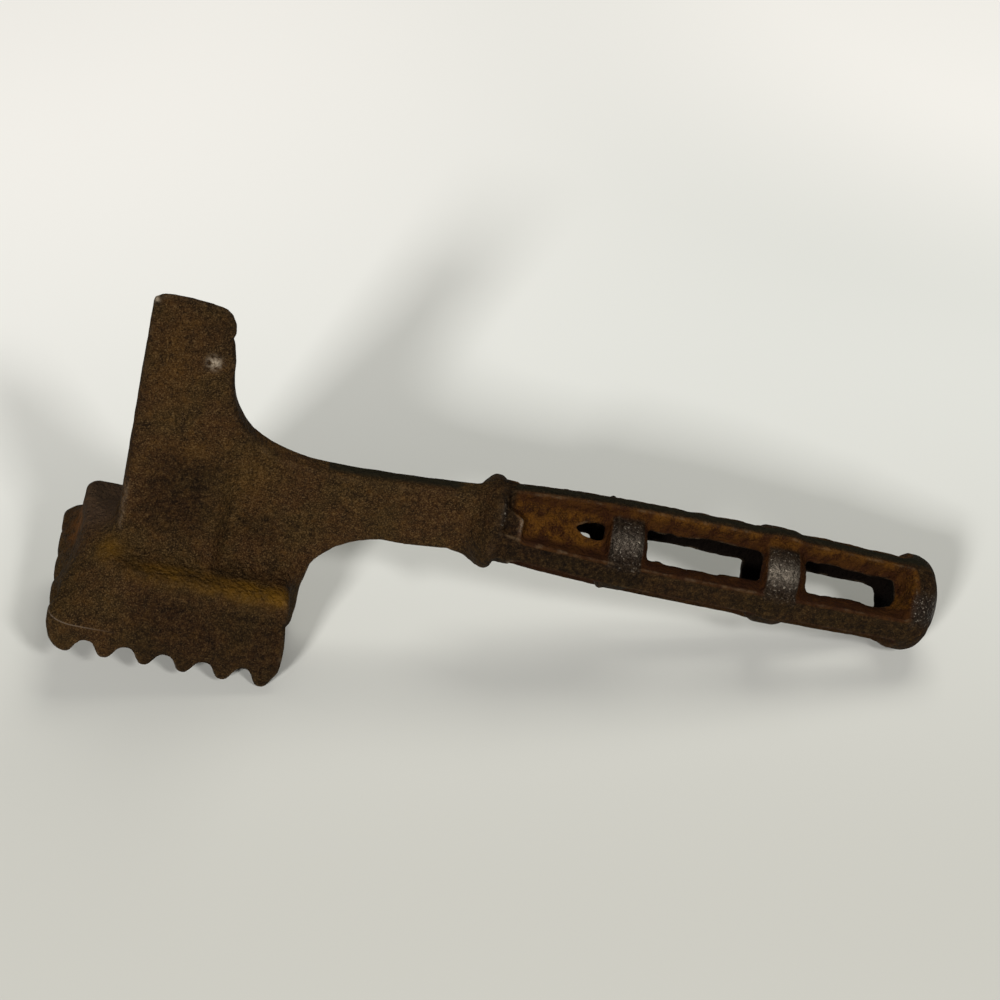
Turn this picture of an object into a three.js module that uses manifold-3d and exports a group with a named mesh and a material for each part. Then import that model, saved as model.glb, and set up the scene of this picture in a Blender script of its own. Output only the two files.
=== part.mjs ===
// Old cast iron meat tenderizer with a hatchet blade and an open-work handle.
// Millimetres. The tool is drawn in its own axes: X runs along the handle from the
// collar to the butt, Z from the teeth to the blade, Y across the flat of the neck.
// It is one casting in real life. The nodes are the named lengths of that casting,
// parted where its form changes, with a hairline seam between neighbours.

import * as THREE from 'three';
import { mergeVertices } from 'three/addons/utils/BufferGeometryUtils.js';
import Module from 'manifold-3d';

const wasm = await Module();
wasm.setup();

// Seam between neighbouring lengths of the casting
const seam = 0.3;

// Teeth: columns along the handle, rows across it
const columns = 6;
const rows = 5;
const columnPitch = 10;
const rowPitch = 9.6;
const toothDepth = 4.6;
const toothTip = 2.6;
const outerTipInset = 1.6;
const lastTipX = -49.0;
const rimMargin = 0.9;

// Tooth plate and head block, measured from the handle axis and the collar
const headDepth = 49.2;
const plateThickness = 3.0;
const headRightX = -45.4;
const headLeftX = -104.9;
const blockHeight = 16.0;
const flareHeight = 8.4;
const flareOut = 4.6;
const flareAcross = 5.4;
const blockSpread = 0.7;
const ledgeRound = 1.1;
const leftCorner = 4.4;
const rightCorner = 1.4;

// Root fillet between the ledge of the block and the post and neck standing on it
const rootFillet = 6.2;

// Post and blade: a wedge from the thick foot to the thin cutting edge
const bladeReach = 45.8;
const bladeJoinZ = 8;
const edgeHalf = 0.7;
const footHalf = 6.6;
const bladeFootX = -92.4;
const bladeTipX = -95.7;
const bladeShoulderX = -75.7;
const bladeBackX = -72.7;
const bladeBackZ = 30;
const postBackX = -70.5;
const wedgeChamfer = 0.8;

// Neck: a flat web with swept edges above and below
const neckThickness = 6.4;
const neckRound = 1.3;
const neckDipX = -42;
const neckDipZ = 5.6;
const neckEndX = -9.5;
const neckEndTopZ = 7.9;
const neckEndBottomZ = -10.4;
const throatRadius = 20.7;
const throatX = -23.3;
const throatTopZ = -11.8;

// Collar between the neck and the handle
const collarRadius = 12.1;
const collarBead = 2.7;
const collarDrop = 0.8;

// Handle: a barrel with four rails, two ring bands and a domed butt
const sideReach = 13.7;
const sideHalf = 4.0;
const topReach = 13.0;
const topHalf = 3.2;
const railChamfer = 0.8;
const skinRadius = 12.8;
const barrelMidX = 62;
const frontFall = 0.17;
const rearFall = 0.06;
const handleStartX = 3.0;
const ringPitch = 41.8;
const ringWidth = 7.4;
const firstRingX = 32.8;
const frontRingProud = 0.05;
const rearRingProud = 0.3;
const buttStartX = 109.5;
const buttLength = 10.0;
const buttRadius = 12.9;
const buttCorner = 5.4;
const buttDome = 1.4;

// Pockets on the four diagonals and the cored hollow that they break into
const coreRadius = 8.0;
const coreNoseX = 13.0;
const coreFullX = 20.5;
const coreEndX = 107.6;
const coreEndRound = 6.0;
const pocketHalfOut = 6.9;
const pocketHalfIn = 3.5;
const mouthRadius = 12.0;
const floorRadius = 7.0;
const blindFloor = 7.7;
const blindStartX = 8.6;
const blindMouthX = 2.4;
const blindLean = 0.12;
const pocketDraft = 0.7;

// Worked out from the sizes above
const plateHalf = rows * rowPitch / 2;
const toothRootZ = -headDepth + toothDepth;
const plateTopZ = toothRootZ + plateThickness;
const ledgeZ = plateTopZ + blockHeight;
const ledgeHalf = plateHalf - flareAcross - blockSpread;
const ledgeLeftX = headLeftX + flareOut;
const rootTopZ = ledgeZ + rootFillet;
const neckHalf = neckThickness / 2;
const throatZ = throatTopZ - throatRadius;
const secondRingX = firstRingX + ringPitch;
const buttEndX = buttStartX + buttLength;
const rearBayEndX = coreEndX - coreEndRound - seam;
const openDepth = 0.57 * floorRadius;
const overrun = 3 * seam;

const iron = {
  dark: new THREE.MeshStandardMaterial({ color: 0x3f2a1c, roughness: 0.78, metalness: 0.35 }),
  brown: new THREE.MeshStandardMaterial({ color: 0x4a2f1c, roughness: 0.82, metalness: 0.3 }),
  rust: new THREE.MeshStandardMaterial({ color: 0x7a4517, roughness: 0.9, metalness: 0.1 }),
  worn: new THREE.MeshStandardMaterial({ color: 0x39302a, roughness: 0.5, metalness: 0.6 }),
};

// Manifold of a closed geometry, and the way back
function toSolid(geometry) {
  const bare = geometry.clone();
  bare.deleteAttribute('normal');
  bare.deleteAttribute('uv');
  const merged = mergeVertices(bare, 1e-5);
  const vertProperties = new Float32Array(merged.attributes.position.array);
  const triVerts = new Uint32Array(merged.index.array);
  return new wasm.Manifold(new wasm.Mesh({ numProp: 3, vertProperties, triVerts }));
}

function toGeometry(solid) {
  const mesh = solid.getMesh();
  const geometry = new THREE.BufferGeometry();
  geometry.setAttribute('position', new THREE.BufferAttribute(mesh.vertProperties, 3));
  geometry.setIndex(new THREE.BufferAttribute(mesh.triVerts, 1));
  geometry.computeVertexNormals();
  return geometry;
}

// Closed skin over rings of points that all have the same count, with flat ends
function loft(rings, inwards) {
  const count = rings[0].length;
  const positions = rings.flat().flatMap((p) => [p.x, p.y, p.z]);
  const index = [];
  for (let level = 0; level < rings.length - 1; level += 1) {
    for (let i = 0; i < count; i += 1) {
      const a = level * count + i;
      const b = level * count + (i + 1) % count;
      index.push(a, b, b + count, a, b + count, a + count);
    }
  }
  const last = (rings.length - 1) * count;
  for (let i = 1; i < count - 1; i += 1) {
    index.push(0, i + 1, i);
    index.push(last, last + i, last + i + 1);
  }
  if (inwards) {
    index.reverse();
  }
  const geometry = new THREE.BufferGeometry();
  geometry.setAttribute('position', new THREE.Float32BufferAttribute(positions, 3));
  geometry.setIndex(index);
  return geometry;
}

function box(x0, x1, y0, y1, z0, z1) {
  const geometry = new THREE.BoxGeometry(x1 - x0, y1 - y0, z1 - z0);
  return toSolid(geometry.translate((x0 + x1) / 2, (y0 + y1) / 2, (z0 + z1) / 2));
}

// Rectangle lying level at z with its corners cut at 45 degrees, by cut and at the right
// end by rightCut
function cutRectangle(z, x0, x1, half, cut, rightCut = cut) {
  const c = Math.min(cut, 0.6 * half);
  const d = Math.min(rightCut, 0.6 * half);
  return [
    [x0 + c, -half], [x1 - d, -half], [x1, d - half], [x1, half - d],
    [x1 - d, half], [x0 + c, half], [x0, half - c], [x0, c - half],
  ].map(([x, y]) => new THREE.Vector3(x, y, z));
}

// Outline drawn in X and Z, with edges rounded, centred on Y
function plate(shape, thickness, round) {
  const geometry = new THREE.ExtrudeGeometry(shape, {
    depth: thickness - 2 * round,
    bevelEnabled: true,
    bevelThickness: round,
    bevelSize: round,
    bevelOffset: -round,
    bevelSegments: 3,
    curveSegments: 20,
  });
  return toSolid(geometry.translate(0, 0, round - thickness / 2).rotateX(Math.PI / 2));
}

// Solid turned about the X axis from points given as [x, radius]
function turned(points, segments) {
  const profile = points.map(([x, r]) => new THREE.Vector2(r, x));
  const geometry = new THREE.LatheGeometry(profile, segments);
  return toSolid(geometry.rotateZ(-Math.PI / 2));
}

// Swept line where the back of the blade runs down into the top of the neck
const sweepLength = neckDipX - bladeBackX;
const sweepHeight = bladeBackZ - neckDipZ;
const backCurve = new THREE.CubicBezierCurve(
  new THREE.Vector2(bladeBackX, bladeBackZ),
  new THREE.Vector2(bladeBackX + 0.033 * sweepLength, neckDipZ + 0.37 * sweepHeight),
  new THREE.Vector2(bladeBackX + 0.27 * sweepLength, neckDipZ),
  new THREE.Vector2(neckDipX, neckDipZ),
);
const backPoints = backCurve.getPoints(24);

function backXAt(z) {
  for (let i = 1; i < backPoints.length; i += 1) {
    const a = backPoints[i - 1];
    const b = backPoints[i];
    if (z <= a.y && z >= b.y) {
      return a.x + (b.x - a.x) * (a.y - z) / (a.y - b.y);
    }
  }
  const rise = (z - bladeBackZ) / (bladeReach - bladeBackZ);
  return bladeBackX + (bladeShoulderX - bladeBackX) * rise;
}

function throatXAt(z) {
  const dz = z - throatZ;
  return dz <= 0 ? throatX - throatRadius : throatX - Math.sqrt(throatRadius ** 2 - dz ** 2);
}

function bladeFrontX(z) {
  const rise = (z - rootTopZ) / (bladeReach - rootTopZ);
  return bladeFootX + (bladeTipX - bladeFootX) * rise;
}

function wedgeHalf(z) {
  const rise = (z - rootTopZ) / (bladeReach - rootTopZ);
  return footHalf + (edgeHalf - footHalf) * rise;
}

// Height of the teeth along one direction: 1 on the blunt tips, 0 in the rounded valleys
function toothLines(count, pitch, outerInset, margin) {
  const valley = pitch / 2;
  const tip = toothTip / 2;
  const steps = [[tip, 1], [tip + 0.62 * (valley - tip), 0.3], [valley - 0.4, 0.03]];
  const lines = [];
  for (let k = 0; k < count; k += 1) {
    const centre = (k - (count - 1) / 2) * pitch;
    const firstOuter = k === 0 && outerInset > 0;
    const lastOuter = k === count - 1 && outerInset > 0;
    lines.push([centre - valley - (k === 0 ? margin : 0), 0]);
    const left = firstOuter ? [[valley - outerInset, 1]] : steps;
    const right = lastOuter ? [[valley - outerInset, 1]] : steps;
    [...left].reverse().forEach(([d, h]) => lines.push([centre - d, h]));
    right.forEach(([d, h]) => lines.push([centre + d, h]));
  }
  lines.push([count * pitch / 2 + margin, 0]);
  return lines;
}

// Plate whose underside is a field of blunt pyramids
function toothPlate() {
  const xs = toothLines(columns, columnPitch, 0, rimMargin);
  const ys = toothLines(rows, rowPitch, outerTipInset, 0);
  const midX = lastTipX - (columns - 1) * columnPitch / 2;
  const top = plateTopZ - seam / 2;
  const positions = [];
  const index = [];
  const columnsOfPoints = ys.length;
  xs.forEach(([x, hx]) => {
    ys.forEach(([y, hy]) => {
      const height = Math.min(hx, hy);
      positions.push(midX + x, y, toothRootZ - toothDepth * height);
    });
  });
  const upper = positions.length / 3;
  xs.forEach(([x]) => {
    ys.forEach(([y]) => positions.push(midX + x, y, top));
  });
  const at = (i, j) => i * columnsOfPoints + j;
  for (let i = 0; i < xs.length - 1; i += 1) {
    for (let j = 0; j < ys.length - 1; j += 1) {
      const corners = [at(i, j), at(i + 1, j), at(i + 1, j + 1), at(i, j + 1)];
      const rising = (xs[i + 1][1] - xs[i][1]) * (ys[j + 1][1] - ys[j][1]);
      const [a, b, c, d] = corners;
      if (rising < 0) {
        index.push(a, d, b, b, d, c);
      } else {
        index.push(a, c, b, a, d, c);
      }
      index.push(upper + a, upper + b, upper + c, upper + a, upper + c, upper + d);
    }
  }
  const wall = (a, b) => index.push(a, b, b + upper, a, b + upper, a + upper);
  for (let i = 0; i < xs.length - 1; i += 1) {
    wall(at(i, 0), at(i + 1, 0));
    wall(at(i + 1, ys.length - 1), at(i, ys.length - 1));
  }
  for (let j = 0; j < ys.length - 1; j += 1) {
    wall(at(xs.length - 1, j), at(xs.length - 1, j + 1));
    wall(at(0, j + 1), at(0, j));
  }
  const geometry = new THREE.BufferGeometry();
  geometry.setAttribute('position', new THREE.Float32BufferAttribute(positions, 3));
  geometry.setIndex(index);
  const slab = loft([
    cutRectangle(-headDepth - overrun, headLeftX, headRightX, plateHalf, leftCorner, rightCorner),
    cutRectangle(top, headLeftX, headRightX, plateHalf, leftCorner, rightCorner),
  ]);
  return toSolid(geometry).intersect(toSolid(slab));
}

// Block that flares out to the tooth plate, with the root fillet on its ledge
function headBlock() {
  const flareTopZ = plateTopZ + flareHeight;
  const level = (z, out, spread) => cutRectangle(
    z,
    ledgeLeftX - out * flareOut - spread,
    headRightX,
    ledgeHalf + out * flareAcross + spread,
    leftCorner,
    rightCorner,
  );
  const flare = [1, 0.93, 0.7, 0.36, 0.1, 0];
  const body = flare.map((out, k) => {
    const z = plateTopZ + seam / 2 + (flareHeight - seam / 2) * k / (flare.length - 1);
    return level(z, out, blockSpread);
  });
  body.push(level(ledgeZ - ledgeRound, 0, 0.2 * ledgeRound));
  body.push(level(ledgeZ - 0.3 * ledgeRound, 0, -0.3 * ledgeRound));
  body.push(level(ledgeZ, 0, -ledgeRound));
  let block = toSolid(loft(body));

  const steps = 6;
  const sweep = (t) => rootFillet * (1 - Math.sqrt(1 - (1 - t) ** 2));
  const post = [];
  const web = [];
  for (let k = 0; k <= steps; k += 1) {
    const t = k / steps;
    const z = ledgeZ + t * (rootFillet - seam / 2);
    const out = sweep(t);
    const front = bladeFrontX(rootTopZ) - 0.55 * out;
    post.push(cutRectangle(z, front, postBackX + 0.6, footHalf + out, wedgeChamfer));
    const toe = headRightX + (throatXAt(z) - headRightX) * (1 - out / rootFillet);
    web.push(cutRectangle(z, postBackX, toe, neckHalf + 1.45 * out, neckRound));
  }
  const below = (ring) => ring.map((p) => new THREE.Vector3(p.x, p.y, flareTopZ));
  post.unshift(below(post[0]));
  block = block.add(toSolid(loft(post)));

  const rib = [];
  for (let k = 0; k <= 2 * steps; k += 1) {
    const z = plateTopZ + seam / 2 + k / (2 * steps) * (rootTopZ - plateTopZ - seam);
    rib.push(cutRectangle(z, headRightX - 2 * rootFillet, throatXAt(z), neckHalf, neckRound));
  }
  block = block.add(toSolid(loft(rib)));
  return block.add(toSolid(loft(web)));
}

// Thick foot of the wedge, between the block and the blade
function bladePost() {
  const rings = [];
  const steps = 3;
  for (let k = 0; k <= steps; k += 1) {
    const z = rootTopZ + seam / 2 + (bladeJoinZ - rootTopZ - seam) * k / steps;
    rings.push(cutRectangle(z, bladeFrontX(z), postBackX - seam / 2, wedgeHalf(z), wedgeChamfer));
  }
  return toSolid(loft(rings));
}

// Hatchet blade with a crowned cutting edge and a swept back
function hatchetBlade() {
  const rings = [];
  const add = (z, front, back) => {
    rings.push(cutRectangle(z, front, back, wedgeHalf(z), wedgeChamfer));
  };
  const steps = 9;
  const shoulderZ = bladeReach - 4.4;
  for (let k = 0; k <= steps; k += 1) {
    const z = bladeJoinZ + seam / 2 + (shoulderZ - bladeJoinZ - seam / 2) * k / steps;
    add(z, bladeFrontX(z), Math.min(backXAt(z), postBackX - seam / 2));
  }
  const crown = [[0.55, 0.35, 1.0], [0.85, 1.6, 3.6], [1, 4.6, 8.0]];
  crown.forEach(([t, inFront, inBack]) => {
    const z = shoulderZ + t * (bladeReach - shoulderZ);
    add(z, bladeFrontX(z) + inFront, backXAt(z) - inBack);
  });
  return toSolid(loft(rings));
}

// Flat web from the post to the collar, trimmed where its neighbours begin
function neckWeb() {
  const far = neckThickness;
  const midX = (neckDipX + neckEndX) / 2;
  const rise = neckEndTopZ - neckDipZ;
  const shape = new THREE.Shape();
  shape.moveTo(postBackX - far, bladeBackZ + far);
  shape.lineTo(bladeBackX, bladeBackZ + far);
  backPoints.forEach((p) => shape.lineTo(p.x, p.y));
  shape.quadraticCurveTo(midX, neckDipZ + 0.4 * rise, neckEndX + far, neckEndTopZ + 0.3 * rise);
  shape.lineTo(neckEndX + far, neckEndBottomZ);
  shape.lineTo(throatX + 0.4 * throatRadius, throatTopZ + 0.6 * (neckEndBottomZ - throatTopZ));
  shape.absarc(throatX, throatZ, throatRadius, Math.PI / 2, Math.PI, false);
  shape.lineTo(throatX - throatRadius, plateTopZ);
  shape.lineTo(postBackX - far, plateTopZ);
  const web = plate(shape, neckThickness, neckRound);
  const keep = box(postBackX + seam / 2, neckEndX - seam / 2, -far, far,
    rootTopZ + seam / 2, bladeBackZ);
  return web.intersect(keep);
}

// Round bead that the flat web swells into
function collar() {
  const points = 32;
  const ring = (x, half, up, drop) => {
    const list = [];
    const square = THREE.MathUtils.clamp((up - half) / up, 0, 1);
    const power = 2 / (2 + 5 * square);
    for (let k = 0; k < points; k += 1) {
      const a = 2 * Math.PI * (k + 0.5) / points;
      const c = Math.cos(a);
      const s = Math.sin(a);
      const y = -half * Math.sign(c) * Math.abs(c) ** power;
      const z = up * Math.sign(s) * Math.abs(s) ** power - drop;
      list.push(new THREE.Vector3(x, y, z));
    }
    return list;
  };
  const neckUp = (neckEndTopZ - neckEndBottomZ) / 2;
  const neckDrop = -(neckEndTopZ + neckEndBottomZ) / 2;
  const rings = [];
  const swell = 7;
  const swellEnd = -collarBead;
  const start = neckEndX + seam / 2;
  for (let k = 0; k <= swell; k += 1) {
    const t = k / swell;
    const open = t ** 2.6;
    rings.push(ring(
      start + t * (swellEnd - start),
      neckHalf + open * (0.86 * collarRadius - neckHalf),
      neckUp + t ** 2.2 * (0.9 * collarRadius - neckUp),
      neckDrop + t * (collarDrop - neckDrop),
    ));
  }
  const bead = 6;
  for (let k = 1; k <= bead; k += 1) {
    const a = Math.PI * (0.18 + 0.74 * k / bead);
    const x = -collarBead * Math.cos(a);
    const radius = collarRadius * (0.86 + 0.14 * Math.sin(a));
    rings.push(ring(x, radius, radius, collarDrop));
  }
  const handFace = handleStartX - seam / 2;
  const throat = 0.86 * collarRadius;
  rings.push(ring(handFace, throat, throat, 0.5 * collarDrop));
  return toSolid(loft(rings, true));
}

// Handle section: four flat rails with round skin between them
function handleRing(x, proud) {
  const ahead = (barrelMidX - x) / (barrelMidX - handleStartX);
  const behind = (x - barrelMidX) / (buttStartX - barrelMidX);
  const fall = x < barrelMidX ? frontFall * ahead ** 3 : rearFall * behind ** 2;
  const scale = 1 - fall + proud;
  const list = [];
  for (let k = 0; k < 4; k += 1) {
    const out = k * Math.PI / 2;
    const reach = k % 2 === 0 ? sideReach : topReach;
    const half = k % 2 === 0 ? sideHalf : topHalf;
    const put = (r, t) => list.push(new THREE.Vector3(
      x,
      -scale * (r * Math.cos(out) - t * Math.sin(out)),
      scale * (r * Math.sin(out) + t * Math.cos(out)),
    ));
    put(reach - railChamfer, -half);
    put(reach, railChamfer - half);
    put(reach, half - railChamfer);
    put(reach - railChamfer, half);
    [30, 45, 60].forEach((degrees) => {
      const a = degrees * Math.PI / 180;
      put(skinRadius * Math.cos(a), skinRadius * Math.sin(a));
    });
  }
  return list;
}

function handleLength(x0, x1, proudAt) {
  const rings = [];
  const steps = 6;
  for (let k = 0; k <= steps; k += 1) {
    const t = k / steps;
    rings.push(handleRing(x0 + t * (x1 - x0), proudAt(t)));
  }
  return toSolid(loft(rings, true));
}

// Hollow left by the core: pointed nose in the front bay, round end at the butt
function coreHollow() {
  return turned([
    [coreNoseX, 0],
    [coreNoseX + 0.4 * (coreFullX - coreNoseX), 0.5 * coreRadius],
    [coreFullX, 0.96 * coreRadius],
    [coreFullX + coreEndRound, coreRadius],
    [coreEndX - coreEndRound, coreRadius],
    [coreEndX - 0.5 * coreEndRound, 0.88 * coreRadius],
    [coreEndX - 0.15 * coreEndRound, 0.58 * coreRadius],
    [coreEndX, 0],
  ], 32);
}

// Tapered pocket cutter on one diagonal, from depth u0 out past the skin. Its floor leans
// down towards the top or the bottom rail.
function pocket(diagonal, u0, inner0, inner1, outer0, outer1, lean) {
  const slope = (pocketHalfOut - pocketHalfIn) / (mouthRadius - floorRadius);
  const u1 = 1.33 * mouthRadius;
  const down = diagonal % 2 === 0 ? lean : -lean;
  const halfAt = (u) => pocketHalfIn + slope * (u - floorRadius);
  const stretch = (u1 - u0) / (mouthRadius - u0);
  const mouth0 = inner0 + (outer0 - inner0) * stretch;
  const mouth1 = inner1 + (outer1 - inner1) * stretch;
  const level = (u, x0, x1) => [
    [x0, -halfAt(u)], [x1, -halfAt(u)], [x1, halfAt(u)], [x0, halfAt(u)],
  ].map(([x, v]) => new THREE.Vector3(x, v, u - down * v));
  const geometry = loft([level(u0, inner0, inner1), level(u1, mouth0, mouth1)]);
  geometry.rotateX(Math.PI / 4 + diagonal * Math.PI / 2);
  return toSolid(geometry);
}

function cutPockets(solid, u0, inner0, inner1, outer0, outer1, lean = 0) {
  let cut = solid;
  for (let k = 0; k < 4; k += 1) {
    cut = cut.subtract(pocket(k, u0, inner0, inner1, outer0, outer1, lean));
  }
  return cut;
}

function frontBay() {
  const end = firstRingX - ringWidth / 2;
  const bar = handleLength(handleStartX + seam / 2, end - seam / 2, () => 0);
  const pocketed = cutPockets(bar, blindFloor, blindStartX, end - pocketDraft,
    blindMouthX, end - 0.2, blindLean);
  return pocketed.subtract(coreHollow());
}

function ringBand(centre, proud) {
  const reach = ringWidth / 2 - seam / 2;
  const crown = (t) => proud / skinRadius * Math.sin(Math.PI * t) ** 0.5;
  const band = handleLength(centre - reach, centre + reach, crown);
  return band.subtract(coreHollow());
}

// One rail of an open bay, on the side given in quarter turns from near
function rail(x0, x1, side) {
  const bar = handleLength(x0, x1, () => 0);
  const from = x0 - overrun;
  const to = x1 + overrun;
  const open = cutPockets(bar, openDepth, from, to, from, to);
  const far = 2 * sideReach;
  const quarter = loft([from, to].map((x) => [
    new THREE.Vector3(x, 0, 0),
    new THREE.Vector3(x, -far, -far),
    new THREE.Vector3(x, -far, far),
  ]), true);
  quarter.rotateX(-side * Math.PI / 2);
  return open.intersect(toSolid(quarter)).subtract(coreHollow());
}

function buttCap() {
  const flat = buttEndX - buttDome - buttCorner;
  const rim = buttRadius - buttCorner;
  const points = [[buttStartX - 0.6, 0], [buttStartX - 0.6, buttRadius - 1.2]];
  points.push([buttStartX + 0.2, buttRadius - 0.2], [buttStartX + 1.2, buttRadius]);
  const turns = 6;
  for (let k = 0; k <= turns; k += 1) {
    const a = Math.PI / 2 * k / turns;
    points.push([flat + buttCorner * Math.sin(a), rim + buttCorner * Math.cos(a)]);
  }
  points.push([buttEndX - 0.35 * buttDome, 0.5 * rim], [buttEndX, 0]);
  const cap = turned(points, 40);
  const from = rearBayEndX - overrun;
  const inEnd = buttStartX - 0.7 * pocketHalfIn;
  const foot = handleLength(rearBayEndX + seam / 2, buttStartX + seam, () => 0);
  const whole = foot.subtract(coreHollow()).add(cap);
  return cutPockets(whole, openDepth, from, inEnd, from, buttStartX + overrun);
}

// Floor line: from the edge of the last teeth to the round lower edge of the butt
function restTilt() {
  const tipX = lastTipX + toothTip / 2;
  const centreX = buttEndX - buttDome - buttCorner;
  const rise = headDepth - (buttRadius - buttCorner);
  const run = centreX - tipX;
  return Math.atan2(rise, run) - Math.asin(buttCorner / Math.hypot(rise, run));
}

const tool = new THREE.Group();

function node(name, solid, material) {
  const mesh = new THREE.Mesh(toGeometry(solid), material);
  mesh.name = name;
  tool.add(mesh);
}

node('tooth_plate', toothPlate(), iron.brown);
node('head_block', headBlock(), iron.brown);
node('blade_post', bladePost(), iron.dark);
node('hatchet_blade', hatchetBlade(), iron.dark);
node('neck_web', neckWeb(), iron.brown);
node('collar', collar(), iron.dark);
node('front_bay', frontBay(), iron.rust);
node('front_ring', ringBand(firstRingX, frontRingProud), iron.worn);
node('rear_ring', ringBand(secondRingX, rearRingProud), iron.worn);
node('butt_cap', buttCap(), iron.worn);

const sides = ['near', 'top', 'far', 'bottom'];
const bays = [
  ['middle', firstRingX + ringWidth / 2, secondRingX - ringWidth / 2],
  ['rear', secondRingX + ringWidth / 2, rearBayEndX],
];
bays.forEach(([bay, from, to]) => {
  sides.forEach((side, k) => {
    node(`${bay}_${side}_rail`, rail(from + seam / 2, to - seam / 2, k), iron.rust);
  });
});

// Set down as it rests: on the last column of teeth and the butt, centred on the origin
tool.rotation.y = restTilt();
const standing = new THREE.Group();
standing.add(tool);
standing.updateMatrixWorld(true);
const reach = new THREE.Box3().setFromObject(standing, true);
tool.position.x -= (reach.min.x + reach.max.x) / 2;
tool.position.y -= (reach.min.y + reach.max.y) / 2;
tool.position.z -= reach.min.z;

export default standing;
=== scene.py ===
"""Old cast iron meat tenderizer with a hatchet blade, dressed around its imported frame.

The tool is one rusted casting. It is shaped as a field of distances in the tool's own
axes (X along the handle from the collar, Y across the neck, Z from the teeth towards the
blade, millimetres). The field is meshed once, so that its fillets run through, and the
mesh is then parted into named pieces.
"""
from math import radians

import bpy
import bmesh
import numpy as np
from mathutils import Matrix


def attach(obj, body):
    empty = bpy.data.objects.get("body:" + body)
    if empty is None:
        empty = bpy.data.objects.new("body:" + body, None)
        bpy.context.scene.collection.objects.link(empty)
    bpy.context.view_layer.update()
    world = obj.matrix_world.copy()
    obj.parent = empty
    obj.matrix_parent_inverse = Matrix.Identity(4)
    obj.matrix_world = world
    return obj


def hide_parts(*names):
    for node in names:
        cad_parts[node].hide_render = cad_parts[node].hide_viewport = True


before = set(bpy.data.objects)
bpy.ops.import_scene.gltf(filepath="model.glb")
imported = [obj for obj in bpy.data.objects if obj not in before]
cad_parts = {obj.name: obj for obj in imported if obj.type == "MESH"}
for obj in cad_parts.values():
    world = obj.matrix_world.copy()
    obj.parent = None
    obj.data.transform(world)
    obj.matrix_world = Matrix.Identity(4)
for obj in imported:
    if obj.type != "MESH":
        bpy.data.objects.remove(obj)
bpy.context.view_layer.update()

MM = 0.001
PITCH = 0.42  # mesh spacing, mm
RELAX_SHARE, SKIN_ROUNDS, SMOOTH_ROUNDS = 0.6, 1, 6
DIAGONAL = 0.7071  # cosine of 45 degrees

# How the tool rests: its tilt, and where the collar's centre is in the row frame, mm
TILT = radians(12.7057)
COLLAR = np.array([-2.42, 0.0, 37.50])

# Below, a pair of places says where something starts and where it is full, and a profile
# gives places and the value at each. A SCALE is how much shorter the distance to a sloping
# face is than the way to it along an axis.

# Teeth
ROWS = 5
COLUMN_PITCH, ROW_PITCH = 10.0, 9.6
FIRST_TIP_X, LAST_TIP_X = -99.0, -49.0
HEAD_DEPTH, TOOTH_DEPTH = 49.4, 4.5
TOOTH_PROFILE = ([0, 0.1, 0.2, 0.3, 0.43, 0.56, 0.7, 0.84, 1],
                 [0, 0.01, 0.05, 0.15, 0.42, 0.7, 0.9, 0.98, 1])
OUTER_FLANK = 1.6
DEEPER_VALLEY, DEEPER_X = 0.12, (-60, -50)
TOOTH_SCALE, TIP_ROUNDING = 0.62, 0.9
PLATE_HALF = ROWS * ROW_PITCH / 2

# Head block
HEAD_LEFT_X, HEAD_MIDDLE_X, HEAD_RIGHT_X = -104.9, -75, -45.2
PLATE_TOP_Z, FLARE_TOP_Z, LEDGE_Z = -41.6, -33.2, -25.6
LEDGE_HALF, BODY_LEFT_X, SLOPE_LEFT_X = 18.4, -100.8, -98.0
FLARE_PROFILE = ([0, 0.2, 0.4, 0.6, 0.8, 1], [0, 0.1, 0.36, 0.7, 0.93, 1])
STRAIGHT_TOP_Z, STRAIGHT_SHARE, STRAIGHT_BEND = -28, 0.55, 1.2
NOTCH_DEPTH, NOTCH_Z = 1.8, (-37, -40)
MIDDLE_SLOPE, NEAR_SLOPE_Y, FAR_SLOPE_Y = 0.4, (0, 9), (0, 12)
RIGHT_FLARE = 0.9
RIGHT_BULGE, RIGHT_BULGE_Z, RIGHT_BULGE_REACH = 0.4, -37.5, 3
LEFT_CORNER, RIGHT_CORNER, CORNER_Z = 4.6, 1.2, (-41, -28)
NEAR_CORNER_GAIN, FAR_CORNER_GAIN = 10.6, -0.9
NEAR_LEDGE_ROUNDING, FAR_LEDGE_ROUNDING = 3.0, 1.6
FLASH_Z, FLASH_HEIGHT, FLASH_REACH, FLASH_X = -40.5, 0.12, 0.45, (-86, -98)
BLOCK_FILLET = 6.6

# Blade, post and neck
EDGE_Z, EDGE_HALF = 45.8, 0.7
FOOT_Z, FOOT_HALF = -19.4, 6.6
NECK_HALF = 3.2
BACK_SLANT, POST_BACK_X = 0.09, (-70.4, -65.8)
FLAT_SCALE = 0.99
FLAT_ROUNDING, ROUNDING_LIMIT = 1.3, 0.8
LEFT_ROUNDING, LEFT_ROUNDING_X, LEFT_ROUNDING_Z = 1.6, (-84, -92), (30, 0)
THROAT_X, THROAT_Z, THROAT_RADIUS, THROAT_TURN = -23.3, -32.5, 20.7, (84, 180)

# Collar
COLLAR_RADIUS, COLLAR_END_X, COLLAR_DROP = 12.1, 1.3, 0.8
BELL_X, BELL_BACK_X, BELL_SCALE = (-9.4, -0.8), -12, 0.7
COLLAR_ROUNDING, COLLAR_FILLET = 1.6, 2.5

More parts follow.
